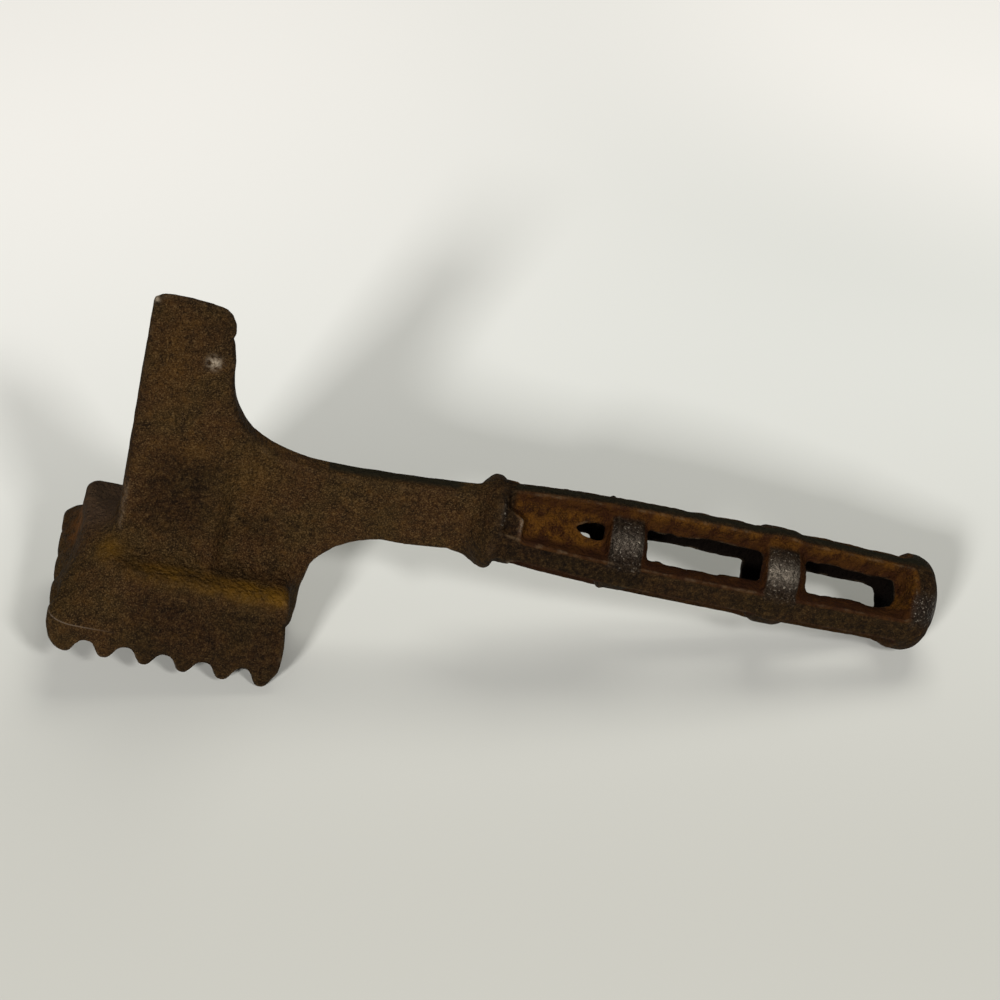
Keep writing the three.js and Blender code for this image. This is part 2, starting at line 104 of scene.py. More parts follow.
# Barrel of the handle and its four rails
FRONT_X, MID_X, BUTT_X = 3, 62.0, 109.5
SKIN_RADIUS = 12.8
THINNER_AHEAD, THINNER_BEHIND = 0.17, 0.06
SIDE_REACH, SIDE_HALF = 13.7, 4.0
TOP_REACH, TOP_HALF, TOP_WIDER, TOP_WIDER_X = 13.5, 2.3, 0.5, (76, 86)
RAIL_ROUNDING, RAIL_FILLET, HANDLE_FILLET = 0.6, 0.4, 0.8

# Bands: middle, radius of the face, slopes of the front and rear sides
RINGS = [(32.9, 11.8, 0.28, 0.62), (74.5, 12.9, 0.2, 0.78)]
RING_HALF, RING_LEAN, RING_SCALE = 3.9, 0.16, 0.88
RING_ROUNDING, RING_FILLET = 1.6, 1.2
RING_SWELL, RING_SWELL_REACH = 0.05, 4.2

# Hollow left by the core, and the pockets that open into it
CORE_PROFILE = ([12.5, 13, 16, 19, 28.4, 30.5, 103.0, 106.0, 108.1, 109.0],
                [-4, 0, 4.4, 6.3, 6.4, 8.0, 8.0, 7.0, 4.6, -2])
FLOOR_RADIUS = 7.0
TOP_WALL_HALF, TOP_WALL_SLOPE, TOP_WALL_SCALE = 4.0, 0.94, 0.73
SIDE_WALL_HALF, SIDE_WALL_SLOPE, SIDE_WALL_SCALE = 3.4, 0.7, 0.82
BAY_SPLIT_X = 30
BLIND_FLOOR, BLIND_END_X, BLIND_ROUNDING, FLOOR_ROUNDING = 7.7, 28.0, 1.0, 1.2
LIP_X, LIP_STEP, LIP_LEAN = 0.9, 4.7, (2.6, -1.0)
LIP_SLOPE, LIP_RADIUS, LIP_SCALE = 0.35, 10.8, 0.8
HOLE_PROFILE = ([18.5, 20.2, 22.4, 25.4], [-1.5, 0.2, 1.7, 2.2])
UPPER_HOLE_LEAN, HOLE_DEPTH, HOLE_ROUNDING = 0.95, 3.0, 0.6
UPPER_END_X, LOWER_END_X, END_SLOPE, END_SCALE = 108.0, 106.7, 0.5, 0.83
END_ROUNDING, WINDOW_DEPTH, WINDOW_ROUNDING = 1.6, 4.0, 0.5

# Ragged edges of the windows; a layer of noise is its height, its grain in mm, its seed
RAGGED_LAYERS = [(1.3, 6.5, 8), (0.35, 2.0, 9)]
RAGGED_SHARE, RAGGED_RADIUS, RAGGED_X = 0.75, (10.5, 9.0), (36, 42)
RAGGED_LOW, RAGGED_TOP = 0.4, (-1, 3)
RAGGED_CORE, POCKET_ROUNDING = 0.2, 0.45

# Butt
DOME_RISE, DOME_RADIUS = 1.4, 9
BUTT_FACE_RADIUS, BUTT_FACE_X, BUTT_CORNER = 7.3, 112.7, 5.4
BUTT_STEP, BUTT_STEP_Z, BUTT_ROUNDING = 1.5, (7, 10), 1.0
BUTT_WINDOW_X, BUTT_OVERLAP, BUTT_FILLET = 111, 2, 0.9

# Lattice of the field, and the part of it that the handle takes
LATTICE_LOW, LATTICE_HIGH = np.array([-108.0, 0.0, -52.0]), np.array([122.0, 26.0, 49.0])
GRIP_LOW_X, GRIP_HALF_Z = -14, 17


# Shaping

def cut_round(a, b, radius):
    """What lies in both shapes, its sharp edge rounded."""
    corner = np.hypot(np.maximum(radius + a, 0), np.maximum(radius + b, 0))
    return np.minimum(-radius, np.maximum(a, b)) + corner


def join_fillet(a, b, radius):
    """Both shapes in one, with a fillet in the corner between them."""
    corner = np.hypot(np.maximum(radius - a, 0), np.maximum(radius - b, 0))
    return np.maximum(radius, np.minimum(a, b)) - corner


def step(value, start, full):
    """0 up to start, 1 from full on, smooth between; full may be the lower of the two."""
    t = np.clip((value - start) / (full - start), 0, 1)
    return t * t * (3 - 2 * t)


def blend(start, end, share):
    """From start, where share is 0, to end, where it is 1."""
    return start + share * (end - start)


def diagonal_axes(y, z):
    """In a quarter of the barrel: distance out along its diagonal, and up beside that."""
    across, up = np.abs(y), np.abs(z)
    return (across + up) * DIAGONAL, (up - across) * DIAGONAL


def grain(points, size, seed):
    """Smooth noise from -1 to 1 at each point, with features about size mm across."""
    q = points / size + 100 + 17.3 * seed
    base = np.floor(q).astype(np.int64)
    f = q - base
    f = f * f * (3 - 2 * f)
    total = np.zeros(len(points))
    for i in (0, 1):
        for j in (0, 1):
            for k in (0, 1):
                c = base + (i, j, k)
                # Integer hash of the lattice corner; its numbers are large odd mixers
                h = (c[:, 0] * 73856093) ^ (c[:, 1] * 19349663) ^ (c[:, 2] * 83492791)
                h = (h * 2654435761 + seed * 97) & 0xFFFFFFFF
                h = ((h ^ (h >> 15)) * 2246822519) & 0xFFFFFFFF
                value = ((h ^ (h >> 13)) & 0xFFFF) / 32767.5 - 1
                weight = np.ones(len(points))
                for n, s in enumerate((i, j, k)):
                    weight = weight * (f[:, n] if s else 1 - f[:, n])
                total += weight * value
    return total


def layered(points, layers):
    """Sum of layers of noise, each given by its height, its grain in mm and its seed."""
    return sum(height * grain(points, size, seed) for height, size, seed in layers)


def outline_distance(outline, x, z):
    """Signed distance in the X-Z plane to a closed outline, negative inside."""
    nearest = np.full(np.broadcast(x, z).shape, 1e9, np.float32)
    inside = np.zeros(nearest.shape, bool)
    for (ax, az), (bx, bz) in zip(outline, outline[1:] + outline[:1]):
        ex, ez = bx - ax, bz - az
        t = np.clip(((x - ax) * ex + (z - az) * ez) / (ex * ex + ez * ez), 0, 1)
        nearest = np.minimum(nearest, np.hypot(x - ax - t * ex, z - az - t * ez))
        if az != bz:
            crossing = (az > z) != (bz > z)
            inside ^= crossing & (x < ax + (z - az) * ex / ez)
    return np.where(inside, -nearest, nearest)


def curve(a, b, c, d, count):
    """Points along a cubic curve from a to d, with b and c pulling it."""
    t = np.linspace(0, 1, count)[:, None]
    a, b, c, d = (np.array(p) for p in (a, b, c, d))
    line = (1 - t) ** 3 * a + 3 * (1 - t) ** 2 * t * b + 3 * (1 - t) * t * t * c + t ** 3 * d
    return [tuple(p) for p in line]


def flat_outline():
    """Outline of blade, post, neck and throat, seen from the side."""
    crown = [(-95.7, 43.2), (-95.4, 44.3), (-94.7, 44.6), (-93.9, 45.4), (-91.5, 45.9),
             (-86.3, 45.9), (-81.6, 45.5), (-78.2, 44.9), (-76.5, 43.5), (-75.3, 41.3)]
    back = [(-74.8, 38.8), (-75.2, 37.3), (-74.4, 35.6)]
    sweep = curve((-73.1, 30.4), (-71.7, 14.6), (-64.4, 5.5), (-42, 5.6), 22)
    top = curve((-42, 5.6), (-31, 5.7), (-20, 6.8), (0, 8.8), 10)[1:]
    under = [(0, -12.6), (-6, -11.0), (-9.5, -10.5)]
    turns = np.radians(np.linspace(*THROAT_TURN, 14))
    throat = [(THROAT_X + THROAT_RADIUS * np.cos(a), THROAT_Z + THROAT_RADIUS * np.sin(a))
              for a in turns]
    foot = [(-44.0, -43.0), (-70, -43.0), (-91.2, -43.0)]
    return crown + back + sweep + top + under + throat + foot


def tooth_wave(value, pitch):
    """1 on the round crest of a tooth, 0 in the wider valley; value 0 is a crest."""
    along = np.abs((value / pitch + 0.5) % 1 - 0.5) * 2
    return (1 - np.interp(along, *TOOTH_PROFILE)).astype(np.float32)


def head(x, y, z, near):
    """Block with its ledge, its flare and the field of teeth below. Its near side flares
    out straighter, with a rounder left corner."""
    down = (FLARE_TOP_Z - z) / (FLARE_TOP_Z - PLATE_TOP_Z)
    flare = np.interp(down, *FLARE_PROFILE).astype(np.float32)
    spread = flare
    if near:
        straight = (z - STRAIGHT_TOP_Z) / (PLATE_TOP_Z - STRAIGHT_TOP_Z)
        straight = np.clip(straight, 0, 1) ** STRAIGHT_BEND
        spread = blend(flare, straight, STRAIGHT_SHARE)
    half = blend(LEDGE_HALF, PLATE_HALF, spread)

    # Left side: sloped towards the near corner, notched between the rows of teeth
    between = np.abs((y / ROW_PITCH) % 1 - 0.5) * 2
    notch = NOTCH_DEPTH * (1 - between) ** 3 * step(z, *NOTCH_Z)
    upright = blend(BODY_LEFT_X, HEAD_LEFT_X, flare)
    drop = np.clip((LEDGE_Z - z) / (LEDGE_Z - PLATE_TOP_Z), 0, 1)
    sloped = blend(SLOPE_LEFT_X, HEAD_LEFT_X, drop)
    if near:
        share = blend(MIDDLE_SLOPE, 1, step(y, *NEAR_SLOPE_Y))
    else:
        share = blend(MIDDLE_SLOPE, 0, step(y, *FAR_SLOPE_Y))
    left = blend(upright, sloped, share) + notch

    right = HEAD_RIGHT_X - RIGHT_FLARE * (1 - spread)
    right = right + RIGHT_BULGE * np.exp(-((z - RIGHT_BULGE_Z) / RIGHT_BULGE_REACH) ** 2)

    # Block between its sides, its upright edges rounded, with the mould's flash and the ledge
    middle, reach = (left + right) / 2, (right - left) / 2
    corner_gain = NEAR_CORNER_GAIN if near else FAR_CORNER_GAIN
    left_corner = LEFT_CORNER + corner_gain * step(z, *CORNER_Z)
    corner = np.where(x < HEAD_MIDDLE_X, left_corner, RIGHT_CORNER).astype(np.float32)
    qx = np.abs(x - middle) - reach + corner
    qy = y - half + corner
    block = np.hypot(np.maximum(qx, 0), np.maximum(qy, 0)) + np.minimum(np.maximum(qx, qy), 0)
    block = block - corner
    flash = FLASH_HEIGHT * np.exp(-((z - FLASH_Z) / FLASH_REACH) ** 2) * step(x, *FLASH_X)
    ledge_rounding = NEAR_LEDGE_ROUNDING if near else FAR_LEDGE_ROUNDING
    block = cut_round(block - flash, z - LEDGE_Z, ledge_rounding)

    # Teeth: the outer flank of the first column is round, the outer row runs to the side
    along = tooth_wave(x - LAST_TIP_X, COLUMN_PITCH)
    past = np.clip((FIRST_TIP_X - x) / (FIRST_TIP_X - HEAD_LEFT_X), 0, 1)
    flank = 1 - OUTER_FLANK * (1 - np.sqrt(1 - past ** 2))
    along = np.where(past > 0, flank, along).astype(np.float32)
    outer_row_y = (ROWS - 1) / 2 * ROW_PITCH
    across = np.where(y > outer_row_y, 1.0, tooth_wave(y, ROW_PITCH))
    crest = np.minimum(along, across)
    crest = crest - DEEPER_VALLEY * step(x, *DEEPER_X) * (1 - along)
    below = -HEAD_DEPTH + TOOTH_DEPTH * (1 - crest)
    return cut_round(block, TOOTH_SCALE * (below - z), TIP_ROUNDING)


def flat_body(x, y, z):
    """Hatchet blade, its post and the neck: one plate whose thickness varies."""
    edge = outline_distance(flat_outline(), x[:, 0], z[0])[:, None, :]
    rise = (z - FOOT_Z) / (EDGE_Z - FOOT_Z)
    wedge = blend(FOOT_HALF, EDGE_HALF, rise)
    behind_post = step(x + BACK_SLANT * z, *POST_BACK_X)
    half = blend(wedge, np.minimum(NECK_HALF, wedge), behind_post)
    rounding = LEFT_ROUNDING * step(x, *LEFT_ROUNDING_X) * step(z, *LEFT_ROUNDING_Z)
    rounding = np.minimum(FLAT_ROUNDING + rounding, ROUNDING_LIMIT * half)
    return cut_round(edge, FLAT_SCALE * (y - half), rounding)


def collar(x, y, z):
    """Bell that the neck swells into, rounded over where it meets the handle."""
    radius = np.hypot(y, z + COLLAR_DROP)
    bell = BELL_SCALE * (radius - blend(NECK_HALF, COLLAR_RADIUS, step(x, *BELL_X)))
    return np.maximum(cut_round(bell, x - COLLAR_END_X, COLLAR_ROUNDING), BELL_BACK_X - x)


def barrel_scale(x):
    """How far the rails stand out along the handle, 1 at the fattest place."""
    ahead = np.clip((MID_X - x) / (MID_X - FRONT_X), 0, 1.1)
    behind = np.clip((x - MID_X) / (BUTT_X - MID_X), 0, 1.2)
    rear_ring_x = RINGS[1][0]
    swell = RING_SWELL * np.exp(-((x - rear_ring_x) / RING_SWELL_REACH) ** 4)
    scale = 1 - THINNER_AHEAD * ahead ** 3 - THINNER_BEHIND * behind ** 2 + swell
    return scale.astype(np.float32)


def core_hollow(x, radius):
    """Hollow that the core left: pointed towards the collar, round at the butt."""
    return radius - np.interp(x, *CORE_PROFILE).astype(np.float32)


def pocket_space(x, y, z):
    """What the pockets on the diagonals cut away: all of it, and the open windows alone."""
    out, lean = diagonal_axes(y, z)
    beyond = out - FLOOR_RADIUS
    top_wall = TOP_WALL_SCALE * (lean - TOP_WALL_HALF - TOP_WALL_SLOPE * beyond)
    side_wall = SIDE_WALL_SCALE * (-lean - SIDE_WALL_HALF - SIDE_WALL_SLOPE * beyond)
    wall = np.maximum(top_wall, side_wall)

    # First bay: blind, with a stepped lip at the collar and a pointed hole at its end
    lip = LIP_X + LIP_STEP * step(lean, *LIP_LEAN) + LIP_SLOPE * (LIP_RADIUS - out)
    blind = np.maximum(LIP_SCALE * (lip - x), x - BAY_SPLIT_X)
    blind = cut_round(wall, blind, BLIND_ROUNDING)
    blind = cut_round(blind, BLIND_FLOOR - out, FLOOR_ROUNDING)
    hole_lean = np.where(z > 0, UPPER_HOLE_LEAN, 0.0).astype(np.float32)
    hole_half = np.interp(x, *HOLE_PROFILE).astype(np.float32)
    hole = cut_round(np.abs(lean - hole_lean) - hole_half, x - BLIND_END_X, HOLE_ROUNDING)
    hole = np.maximum(hole, HOLE_DEPTH - out)

    # Windows through to the core, from the first band to the butt
    end_x = np.where(z > 0, UPPER_END_X, LOWER_END_X).astype(np.float32)
    far_end = END_SCALE * (x - end_x - END_SLOPE * beyond)
    windows = cut_round(wall, far_end, END_ROUNDING)
    windows = cut_round(windows, WINDOW_DEPTH - out, WINDOW_ROUNDING)
    windows = np.maximum(windows, BAY_SPLIT_X - x)
    return np.minimum(np.minimum(blind, hole), windows), windows


def handle(x, y, z):
    """Barrel with four rails, pierced on its diagonals, two bands and a domed butt."""
    scale = barrel_scale(x)
    up = np.abs(z)
    radius = np.hypot(y, z)
    side = cut_round(y - SIDE_REACH * scale, up - SIDE_HALF, RAIL_ROUNDING)
    top_half = TOP_HALF + TOP_WIDER * step(x, *TOP_WIDER_X)
    top = cut_round(up - TOP_REACH * scale, y - top_half, RAIL_ROUNDING)
    barrel = join_fillet(radius - SKIN_RADIUS * scale, side, RAIL_FILLET)
    barrel = join_fillet(barrel, top, RAIL_FILLET)

    spots = np.stack([a.ravel() for a in np.broadcast_arrays(x, y, z)], 1)
    ragged = layered(spots, RAGGED_LAYERS).astype(np.float32)
    ragged = ragged.reshape(np.broadcast(x, y, z).shape)
    pockets, windows = pocket_space(x, y, z)
    deep = blend(RAGGED_LOW, 1, step(up - y, *RAGGED_TOP))
    deep = deep * step(radius, *RAGGED_RADIUS) * step(x, *RAGGED_X)
    body = cut_round(barrel, -pockets - RAGGED_SHARE * ragged * deep, POCKET_ROUNDING)
    body = np.maximum(body, np.maximum(-x, x - BUTT_X - BUTT_OVERLAP))
    _, lean = diagonal_axes(y, z)
    for middle, face, front_slope, rear_slope in RINGS:
        level = face - RING_LEAN * lean
        below = np.maximum(level - radius, 0)
        sides = np.maximum(middle - RING_HALF - front_slope * below - x,
                           x - middle - RING_HALF - rear_slope * below)
        ring = cut_round(RING_SCALE * sides, radius - level, RING_ROUNDING)
        body = join_fillet(body, ring, RING_FILLET)

    dome = DOME_RISE * np.clip(1 - (radius / DOME_RADIUS) ** 2, 0, 1)
    butt = np.hypot(np.maximum(radius - BUTT_FACE_RADIUS, 0), np.maximum(x - BUTT_FACE_X, 0))
    butt = butt - BUTT_CORNER - dome
    front_x = BUTT_X - BUTT_STEP * step(up, *BUTT_STEP_Z)
    butt = cut_round(butt, front_x - x, BUTT_ROUNDING)
    butt = cut_round(butt, -np.maximum(windows, x - BUTT_WINDOW_X), WINDOW_ROUNDING)
    core = core_hollow(x, radius) + RAGGED_CORE * ragged
    return np.maximum(join_fillet(body, butt, BUTT_FILLET), -core)


def casting_field():
    """The whole casting on a lattice: (distances, lowest corner)."""
    counts = np.ceil((LATTICE_HIGH - LATTICE_LOW) / PITCH).astype(int) + 1
    axes = [(LATTICE_LOW[k] + PITCH * np.arange(counts[k])).astype(np.float32)
            for k in range(3)]
    x, y, z = axes[0][:, None, None], axes[1][None, :, None], axes[2][None, None, :]
    grip_x = slice(int((GRIP_LOW_X - LATTICE_LOW[0]) / PITCH), None)
    grip_z = slice(int((-GRIP_HALF_Z - LATTICE_LOW[2]) / PITCH),
                   int((GRIP_HALF_Z - LATTICE_LOW[2]) / PITCH))
    xs, zs = x[grip_x], z[:, :, grip_z]
    plate, bell, grip = flat_body(x, y, z), collar(xs, y, z), handle(xs, y, zs)
    halves = []
    for near in (True, False):
        half = join_fillet(head(x, y, z, near), plate, BLOCK_FILLET)
        half[grip_x] = join_fillet(half[grip_x], bell, COLLAR_FILLET)
        half[grip_x, :, grip_z] = join_fillet(half[grip_x, :, grip_z], grip, HANDLE_FILLET)
        halves.append(half)
    field = np.concatenate([halves[0][:, :0:-1], halves[1]], axis=1)
    return field, np.array([LATTICE_LOW[0], -axes[1][-1], LATTICE_LOW[2]])


def skin_of(field, low):
    """Quads round a field: one vertex in each cell that the surface crosses."""
    inside = field < 0
    corners = [(i, j, k) for i in (0, 1) for j in (0, 1) for k in (0, 1)]

    def shifted(array, offset):
        spans = (slice(s, array.shape[n] - 1 + s) for n, s in enumerate(offset))
        return array[tuple(spans)]

    filled = sum(shifted(inside, corner).astype(np.int8) for corner in corners)
    cells = np.argwhere((filled > 0) & (filled < len(corners)))
    number = np.full(filled.shape, -1, np.int32)
    number[tuple(cells.T)] = np.arange(len(cells))

    # A cell's vertex is the middle of the places where the surface crosses its edges
    place = np.zeros((len(cells), 3))
    hits = np.zeros(len(cells))
    for axis in range(3):
        along = np.eye(3, dtype=int)[axis]
        for corner in corners:
            if corner[axis]:
                continue
            a = field[tuple((cells + corner).T)]
            b = field[tuple((cells + corner + along).T)]
            hit = (a < 0) != (b < 0)
            t = np.where(hit, a / np.where(hit, a - b, 1), 0)
            place += hit[:, None] * (np.array(corner) + t[:, None] * along)
            hits += hit
    points = low + PITCH * (cells + place / hits[:, None])

    # A quad stands across each lattice edge whose ends lie on two sides of the surface
    quads = []
    for axis in range(3):
        u, v = (axis + 1) % 3, (axis + 2) % 3
        window = [slice(1, -1)] * 3
        window[axis] = slice(0, -1)
        a = inside[tuple(window)]
        window[axis] = slice(1, None)
        b = inside[tuple(window)]
        at = np.argwhere(a != b)
        leaving = a[tuple(at.T)]
        base = at.copy()
        base[:, u] += 1
        base[:, v] += 1
        eu, ev = np.eye(3, dtype=int)[u], np.eye(3, dtype=int)[v]
        ring = [number[tuple((base - back).T)] for back in (eu + ev, ev, 0 * eu, eu)]
        faces = np.stack(ring, 1)
        faces[~leaving] = faces[~leaving][:, ::-1]
        quads.append(faces)
    return points, np.concatenate(quads)


def relax(points, quads, rounds):
    """Evens the mesh out by moving each vertex a share of the way to its neighbours."""
    pairs = np.concatenate([quads[:, [k, (k + 1) % 4]] for k in range(4)])
    ends = np.concatenate([pairs, pairs[:, ::-1]])
    count = np.bincount(ends[:, 0], minlength=len(points))[:, None]
    for _ in range(rounds):
        total = np.stack([np.bincount(ends[:, 0], points[ends[:, 1], k], len(points))
                          for k in range(3)], 1)
        points = points + RELAX_SHARE * (total / count - points)
    return points


def normals_of(points, quads):
    """Unit normal at each vertex."""
    a = points[quads[:, 2]] - points[quads[:, 0]]
    b = points[quads[:, 3]] - points[quads[:, 1]]
    face = np.cross(a, b)
    total = np.stack([np.bincount(quads.ravel(), np.repeat(face[:, k], 4), len(points))
                      for k in range(3)], 1)
    return total / np.maximum(np.linalg.norm(total, axis=1), 1e-9)[:, None]


field, low_corner = casting_field()
points, quads = skin_of(field, low_corner)
points = relax(points, quads, SKIN_ROUNDS)
normals = normals_of(points, quads)

# Turns the tool's own axes into those of the row frame
turn = np.array([[np.cos(TILT), 0, np.sin(TILT)], [0, 1, 0], [-np.sin(TILT), 0, np.cos(TILT)]])

# Where on the tool each vertex is, for its relief and its colours
at_x, at_y, at_z = points.T
radius = np.hypot(at_y, at_z)
outward, lean = diagonal_axes(at_y, at_z)
ring_middles, ring_faces = np.array(RINGS).T[:2]
nearer = np.abs(at_x[:, None] - ring_middles).argmin(axis=1)
POST_LEFT_X, POST_LEFT_LEAN = -92.55, 0.052
MEASURES = {
    "x": at_x, "y": at_y, "z": at_z, "side": np.abs(at_y),
    # From the handle's middle line; along a pocket's diagonal, and up beside that
    "radius": radius, "outward": outward, "lean": lean,
    # Past the side of the nearer band, and over its face
    "off_band": np.abs(at_x - ring_middles[nearer]) - RING_HALF,
    "raised": radius - ring_faces[nearer] + RING_LEAN * lean,
    # From the spaces that the pockets and the core cut away
    "pocket": pocket_space(at_x, at_y, at_z)[0], "core": core_hollow(at_x, radius),
    # Along X, slanted as the post's back; past the post's left corner; from the outline
    "back": at_x + BACK_SLANT * at_z,
    "post_corner": at_x - POST_LEFT_X + POST_LEFT_LEAN * at_z,
    "edge": outline_distance(flat_outline(), at_x, at_z),
}


def ramp(**spans):
    """Share from 0 to 1: a span says where along its measure it starts and where it is full."""
    share = 1
    for name, span in spans.items():
        share = share * step(MEASURES[name], *span)
    return share


def patch(power=2, **spans):
    """Share in a soft spot: a span is the spot's middle along its measure and its reach."""
    away = sum(((MEASURES[name] - middle) / reach) ** power
               for name, (middle, reach) in spans.items())
    return np.exp(-away)


# Each mask below, apart from the height over the flash, runs from 0 to 1 and says where a
# coat of rust, a rubbed patch, painted shade or a painted highlight lies. The capitals say how
# strong the parts of a mask are.
near_side, near_top = at_y < 0, ramp(y=(-2, -5), z=(0, 3))
bands = ramp(off_band=(0.9, 0.1), raised=(-1.5, -0.7), lean=(-9.5, -7.5)) * ramp(lean=(6.6, 5.0))

# Pockets: orange on their floors, painted shade beside the bands, on the lower walls and along
# the rims, a dark pit, black painted shade in the core; less orange in the lower pockets, as
# painted shade
INNER_RIM, TOP_RIM, TOP_RIM_BEHIND, LOWER_POCKETS = 0.8, 0.8, 0.1, 0.15
on_grip = ramp(x=(2.6, 4.5)) * ramp(x=(112.5, 111))
recess = ramp(pocket=(1.0, 0.35)) * on_grip
core_shade = ramp(core=(0.7, 0.2)) * on_grip
low_wall = ramp(lean=(-2.6, -4.4))
inner_rim = INNER_RIM * ramp(outward=(10.3, 8.7), x=(36, 38), lean=(-1, 1))
top_rim = blend(TOP_RIM, TOP_RIM_BEHIND, ramp(x=(30, 38))) * ramp(lean=(4.2, 5.4))
pit = patch(x=(10.2, 0.9), lean=(2.6, 0.8)) * recess * near_side * (at_z > 0)
pocket_shade_and_pit = np.maximum(patch(off_band=(1.0, 1.3)), low_wall) * (1 - bands)
pocket_shade_and_pit = np.maximum.reduce([pocket_shade_and_pit, top_rim, inner_rim]) * recess
pocket_shade_and_pit = np.maximum(pocket_shade_and_pit, pit)
recess = recess * (1 - bands) * blend(1, LOWER_POCKETS, ramp(z=(0.5, -1)))

# Rubbed iron on the bands and the near side of the butt, on the bands only at their near top and
# strongest where the window light catches it, a painted highlight; a painted highlight stripe on
# the collar's rim; and a painted sheen where the window light catches the near top of the bands
BAND_EDGE, BUTT_RUBBED, SHEEN, REAR_SHEEN = 0.2, 0.8, 0.3, 0.65
band_rubbed_and_lit = bands * near_top * blend(BAND_EDGE, 1, patch(lean=(-1.2, 4.4)))
collar_highlight = patch(x=(0.4, 0.5), lean=(0.5, 3.4)) * ramp(radius=(9.5, 10.5)) * near_top
butt_side = BUTT_RUBBED * ramp(x=(109.9, 111.2)) * patch(y=(-10, 3.6), z=(6.0, 3.6), power=4)
rubbed_and_highlit = np.maximum.reduce([band_rubbed_and_lit, collar_highlight, butt_side])
sheen = bands * near_top * patch(lean=(-1.2, 2.4)) * blend(SHEEN, REAR_SHEEN, ramp(x=(50, 60)))

# Mustard rust along the ledge and at the foot of the post, orange at the far left corner,
# greyer brown on the far side of the ledge
LEDGE_LEFT, LEDGE_RIGHT, POST_FOOT = 0.5, 0.88, 0.6
ledge = patch(z=(LEDGE_Z + 0.1, 1.9)) * ramp(side=(10.5, 14), x=(-44.6, -46.0))
ledge *= ramp(x=(-92, -80)) * blend(LEDGE_LEFT, LEDGE_RIGHT, ramp(x=(-66, -55)))
ledge = np.maximum(ledge, POST_FOOT * patch(x=(-92.5, 3), y=(-10, 3), z=(-25.8, 3)))
orange = patch(x=(-101.5, 3), y=(8, 6), z=(-33, 4))
far_ledge = ramp(x=(-87, -91), y=(-8, 4), z=(-29, -26)) * ramp(z=(-20, -23))

# Sharp edges, where the rust is knocked off: those that stand out from a smoother skin
smooth = relax(points, quads, SMOOTH_ROUNDS)
MEASURES["bend"] = np.einsum("ij,ij->i", points - smooth, normals)
convex = ramp(bend=(0.03, 0.14))

# Height over the flash, whose thin line is drawn in the paint, and where that line shows
FLASH_SIDE, FLASH_SPAN = (17, 18), 2.0
flash = np.clip(at_z - FLASH_Z, -FLASH_SPAN, FLASH_SPAN)
flash = np.where(MEASURES["side"] > FLASH_SIDE[0], flash, FLASH_SPAN)
flash_fade = ramp(x=FLASH_X, side=FLASH_SIDE)

# Painted shade on the top of the neck and the handle, apart from the collar's bead
NECK_FROM_X = -44
MEASURES["facing_up"] = (normals_of(smooth, quads) @ turn.T)[:, 2]
painted_top_shade = ramp(facing_up=(0.72, 0.97), y=(-1.9, 0.4)) * (at_x >= NECK_FROM_X)
painted_top_shade *= (1 - recess) * (1 - bands) * (1 - ramp(x=(-12, -8)) * ramp(x=(4, 2)))

# Pale knocks on the blade's near side and its corner; painted highlights at the pocket's lip and
# along the post
LIP_GLINT, POST_GLINT, SKIN_FROM = 0.45, 0.13, 10
lip_glint = patch(x=(5.2, 0.45), lean=(-1.2, 2.6)) * (radius > SKIN_FROM)
post_glint = patch(post_corner=(0, 0.6)) * ramp(z=(-5, -10), y=(-2, -4)) * ramp(z=(-22, -19))
knocks_and_glints = np.maximum.reduce([
    patch(x=(-78.3, 1.48), z=(30.6, 1.48)) * near_side,
    patch(x=(-95.4, 0.84), z=(44.2, 0.84)),
    LIP_GLINT * lip_glint,
    POST_GLINT * post_glint,
])

# Darker brown where hands held it, low on the block and at the foot of the wedge; painted shade
# in the collar's groove and the throat's corner, over the bands' tops and along the blade's
# edges
HANDLED, HANDLED_BEHIND, LOW_BLOCK, LOW_LEFT = 0.85, 0.8, 0.6, 0.2
GROOVE_SHADE, WEDGE_FOOT, THROAT_SHADE, BLADE_CORNER = 0.95, 0.7, 0.5, 0.5
BLADE_TOP, BLADE_RIM_SHADE = 0.22, 0.5
low_block = ramp(z=(-24, -34), x=(-44, -46)) * blend(1, LOW_LEFT, ramp(x=(-78, -92)))
wedge_foot = patch(x=(-79, 9), z=(-7, 12), power=4) * ramp(back=(-66.0, -69.5))
handled_and_shade = np.maximum.reduce([
    HANDLED * ramp(x=(-9, 3)) * blend(1, HANDLED_BEHIND, ramp(x=(38, 46))),
    LOW_BLOCK * low_block,
    GROOVE_SHADE * patch(x=(1.5, 0.5)) * ramp(radius=(9, 10), lean=(-7, -4)),
    # Painted shade over the bands' tops
    bands * ramp(lean=(2.5, 4.5)),
    WEDGE_FOOT * wedge_foot,
    THROAT_SHADE * patch(x=(-57, 5), z=(-15, 5)),
    BLADE_CORNER * patch(x=(-77.5, 3.5), z=(41, 4)),
    BLADE_TOP * ramp(z=(14, 40)),
    BLADE_RIM_SHADE * patch(edge=(0, 1.7)) * ramp(x=(-60, -66), z=(-14, 0)),
])

# Warmer, more golden rust in patches of the blade, the post and the neck
gold = 0.8 * patch(x=(-88, 5), z=(29, 10)) + 0.8 * patch(x=(-78, 5), z=(5, 4))
gold += 0.7 * patch(x=(-62, 5), z=(0, 9))

